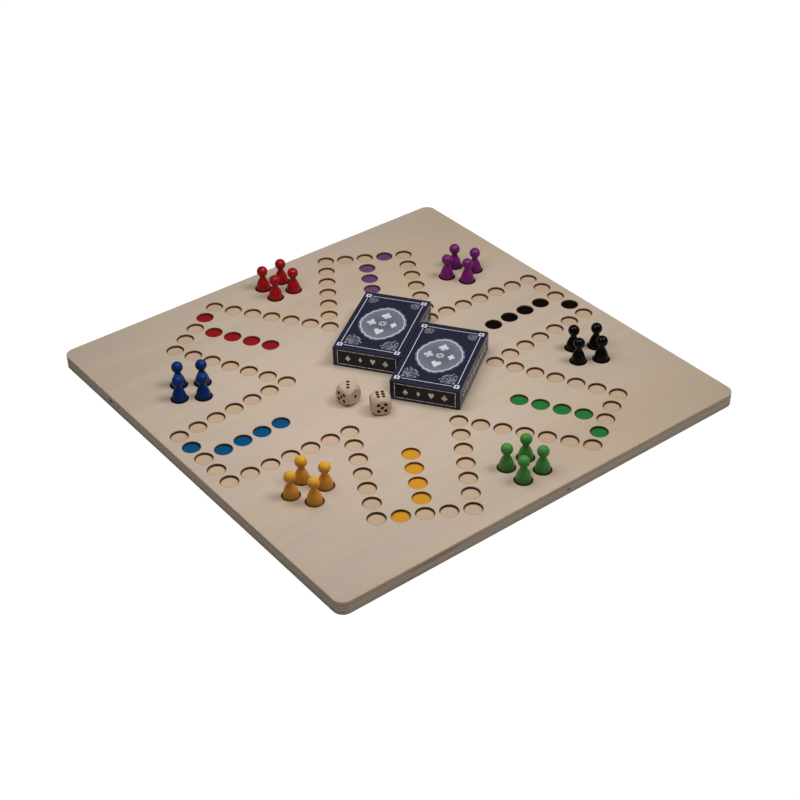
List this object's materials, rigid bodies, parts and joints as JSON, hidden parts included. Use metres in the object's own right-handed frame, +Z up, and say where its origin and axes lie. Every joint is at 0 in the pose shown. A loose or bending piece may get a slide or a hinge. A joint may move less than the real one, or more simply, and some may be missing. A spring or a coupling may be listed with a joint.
{
  "type": "tock board game",
  "caption": "Square wooden race-game board with a six-armed star of sunk pockets, turned pawns, rounded dice and closed tuck boxes of playing cards.",
  "frame": {"origin": "middle of the board's underside", "axes": "+Z up out of the board, +X and +Y along its sides; the black arm of the star points along +X"},
  "size_m": [0.4, 0.4, 0.0346],
  "materials": {
    "plywood": "bare birch plywood, cut edge",
    "face_plate": "fine sanded, matt",
    "die_wood": "fine sanded, matt",
    "box_print": "printed and varnished",
    "box_inside": "uncoated board",
    "cards": "coated paper, cut edges",
    "black_lacquer": "gloss lacquer",
    "purple_lacquer": "gloss lacquer",
    "red_lacquer": "gloss lacquer",
    "blue_lacquer": "gloss lacquer",
    "yellow_lacquer": "gloss lacquer",
    "green_lacquer": "gloss lacquer"
  },
  "bodies": {
    "board": {"base_board": "plywood", "top_plate": "face_plate"},
    "left_card_box": {"left_card_box": "box_print", "left_dust_flaps": "box_inside", "left_card_deck": "cards"},
    "left_box_lid": {"left_box_lid": "box_print", "left_tuck_flap": "box_inside"},
    "right_card_box": {"right_card_box": "box_print", "right_dust_flaps": "box_inside", "right_card_deck": "cards"},
    "right_box_lid": {"right_box_lid": "box_print", "right_tuck_flap": "box_inside"},
    "left_die": {"left_die": "die_wood"},
    "right_die": {"right_die": "die_wood"},
    "black_pawn_1": {"black_pawn_1": "black_lacquer"},
    "black_pawn_2": {"black_pawn_2": "black_lacquer"},
    "black_pawn_3": {"black_pawn_3": "black_lacquer"},
    "black_pawn_4": {"black_pawn_4": "black_lacquer"},
    "purple_pawn_1": {"purple_pawn_1": "purple_lacquer"},
    "purple_pawn_2": {"purple_pawn_2": "purple_lacquer"},
    "purple_pawn_3": {"purple_pawn_3": "purple_lacquer"},
    "purple_pawn_4": {"purple_pawn_4": "purple_lacquer"},
    "red_pawn_1": {"red_pawn_1": "red_lacquer"},
    "red_pawn_2": {"red_pawn_2": "red_lacquer"},
    "red_pawn_3": {"red_pawn_3": "red_lacquer"},
    "red_pawn_4": {"red_pawn_4": "red_lacquer"},
    "blue_pawn_1": {"blue_pawn_1": "blue_lacquer"},
    "blue_pawn_2": {"blue_pawn_2": "blue_lacquer"},
    "blue_pawn_3": {"blue_pawn_3": "blue_lacquer"},
    "blue_pawn_4": {"blue_pawn_4": "blue_lacquer"},
    "yellow_pawn_1": {"yellow_pawn_1": "yellow_lacquer"},
    "yellow_pawn_2": {"yellow_pawn_2": "yellow_lacquer"},
    "yellow_pawn_3": {"yellow_pawn_3": "yellow_lacquer"},
    "yellow_pawn_4": {"yellow_pawn_4": "yellow_lacquer"},
    "green_pawn_1": {"green_pawn_1": "green_lacquer"},
    "green_pawn_2": {"green_pawn_2": "green_lacquer"},
    "green_pawn_3": {"green_pawn_3": "green_lacquer"},
    "green_pawn_4": {"green_pawn_4": "green_lacquer"}
  },
  "joints": [
    {"name": "left_box_lift", "type": "slide", "parent": "board", "child": "left_card_box", "axis": [0, 0, 1], "range_m": [0, 0.04]},
    {"name": "left_lid_hinge", "type": "hinge", "parent": "left_card_box", "child": "left_box_lid", "pos_m": [0.05779, 0.06487, 0.0305], "axis": [0.5693, -0.8221, 0], "range_deg": [0, 120], "deforming": ["left_tuck_flap"]},
    {"name": "right_box_lift", "type": "slide", "parent": "board", "child": "right_card_box", "axis": [0, 0, 1], "range_m": [0, 0.04]},
    {"name": "right_lid_hinge", "type": "hinge", "parent": "right_card_box", "child": "right_box_lid", "pos_m": [0.0653, -0.00296, 0.0305], "axis": [0.5707, -0.8211, 0], "range_deg": [0, 120], "deforming": ["right_tuck_flap"]},
    {"name": "left_die_lift", "type": "slide", "parent": "board", "child": "left_die", "axis": [0, 0, 1], "range_m": [0, 0.04]},
    {"name": "right_die_lift", "type": "slide", "parent": "board", "child": "right_die", "axis": [0, 0, 1], "range_m": [0, 0.04]},
    {"name": "black_pawn_1_lift", "type": "slide", "parent": "board", "child": "black_pawn_1", "axis": [0, 0, 1], "range_m": [0, 0.04]},
    {"name": "black_pawn_2_lift", "type": "slide", "parent": "board", "child": "black_pawn_2", "axis": [0, 0, 1], "range_m": [0, 0.04]},
    {"name": "black_pawn_3_lift", "type": "slide", "parent": "board", "child": "black_pawn_3", "axis": [0, 0, 1], "range_m": [0, 0.04]},
    {"name": "black_pawn_4_lift", "type": "slide", "parent": "board", "child": "black_pawn_4", "axis": [0, 0, 1], "range_m": [0, 0.04]},
    {"name": "purple_pawn_1_lift", "type": "slide", "parent": "board", "child": "purple_pawn_1", "axis": [0, 0, 1], "range_m": [0, 0.04]},
    {"name": "purple_pawn_2_lift", "type": "slide", "parent": "board", "child": "purple_pawn_2", "axis": [0, 0, 1], "range_m": [0, 0.04]},
    {"name": "purple_pawn_3_lift", "type": "slide", "parent": "board", "child": "purple_pawn_3", "axis": [0, 0, 1], "range_m": [0, 0.04]},
    {"name": "purple_pawn_4_lift", "type": "slide", "parent": "board", "child": "purple_pawn_4", "axis": [0, 0, 1], "range_m": [0, 0.04]},
    {"name": "red_pawn_1_lift", "type": "slide", "parent": "board", "child": "red_pawn_1", "axis": [0, 0, 1], "range_m": [0, 0.04]},
    {"name": "red_pawn_2_lift", "type": "slide", "parent": "board", "child": "red_pawn_2", "axis": [0, 0, 1], "range_m": [0, 0.04]},
    {"name": "red_pawn_3_lift", "type": "slide", "parent": "board", "child": "red_pawn_3", "axis": [0, 0, 1], "range_m": [0, 0.04]},
    {"name": "red_pawn_4_lift", "type": "slide", "parent": "board", "child": "red_pawn_4", "axis": [0, 0, 1], "range_m": [0, 0.04]},
    {"name": "blue_pawn_1_lift", "type": "slide", "parent": "board", "child": "blue_pawn_1", "axis": [0, 0, 1], "range_m": [0, 0.04]},
    {"name": "blue_pawn_2_lift", "type": "slide", "parent": "board", "child": "blue_pawn_2", "axis": [0, 0, 1], "range_m": [0, 0.04]},
    {"name": "blue_pawn_3_lift", "type": "slide", "parent": "board", "child": "blue_pawn_3", "axis": [0, 0, 1], "range_m": [0, 0.04]},
    {"name": "blue_pawn_4_lift", "type": "slide", "parent": "board", "child": "blue_pawn_4", "axis": [0, 0, 1], "range_m": [0, 0.04]},
    {"name": "yellow_pawn_1_lift", "type": "slide", "parent": "board", "child": "yellow_pawn_1", "axis": [0, 0, 1], "range_m": [0, 0.04]},
    {"name": "yellow_pawn_2_lift", "type": "slide", "parent": "board", "child": "yellow_pawn_2", "axis": [0, 0, 1], "range_m": [0, 0.04]},
    {"name": "yellow_pawn_3_lift", "type": "slide", "parent": "board", "child": "yellow_pawn_3", "axis": [0, 0, 1], "range_m": [0, 0.04]},
    {"name": "yellow_pawn_4_lift", "type": "slide", "parent": "board", "child": "yellow_pawn_4", "axis": [0, 0, 1], "range_m": [0, 0.04]},
    {"name": "green_pawn_1_lift", "type": "slide", "parent": "board", "child": "green_pawn_1", "axis": [0, 0, 1], "range_m": [0, 0.04]},
    {"name": "green_pawn_2_lift", "type": "slide", "parent": "board", "child": "green_pawn_2", "axis": [0, 0, 1], "range_m": [0, 0.04]},
    {"name": "green_pawn_3_lift", "type": "slide", "parent": "board", "child": "green_pawn_3", "axis": [0, 0, 1], "range_m": [0, 0.04]},
    {"name": "green_pawn_4_lift", "type": "slide", "parent": "board", "child": "green_pawn_4", "axis": [0, 0, 1], "range_m": [0, 0.04]}
  ]
}
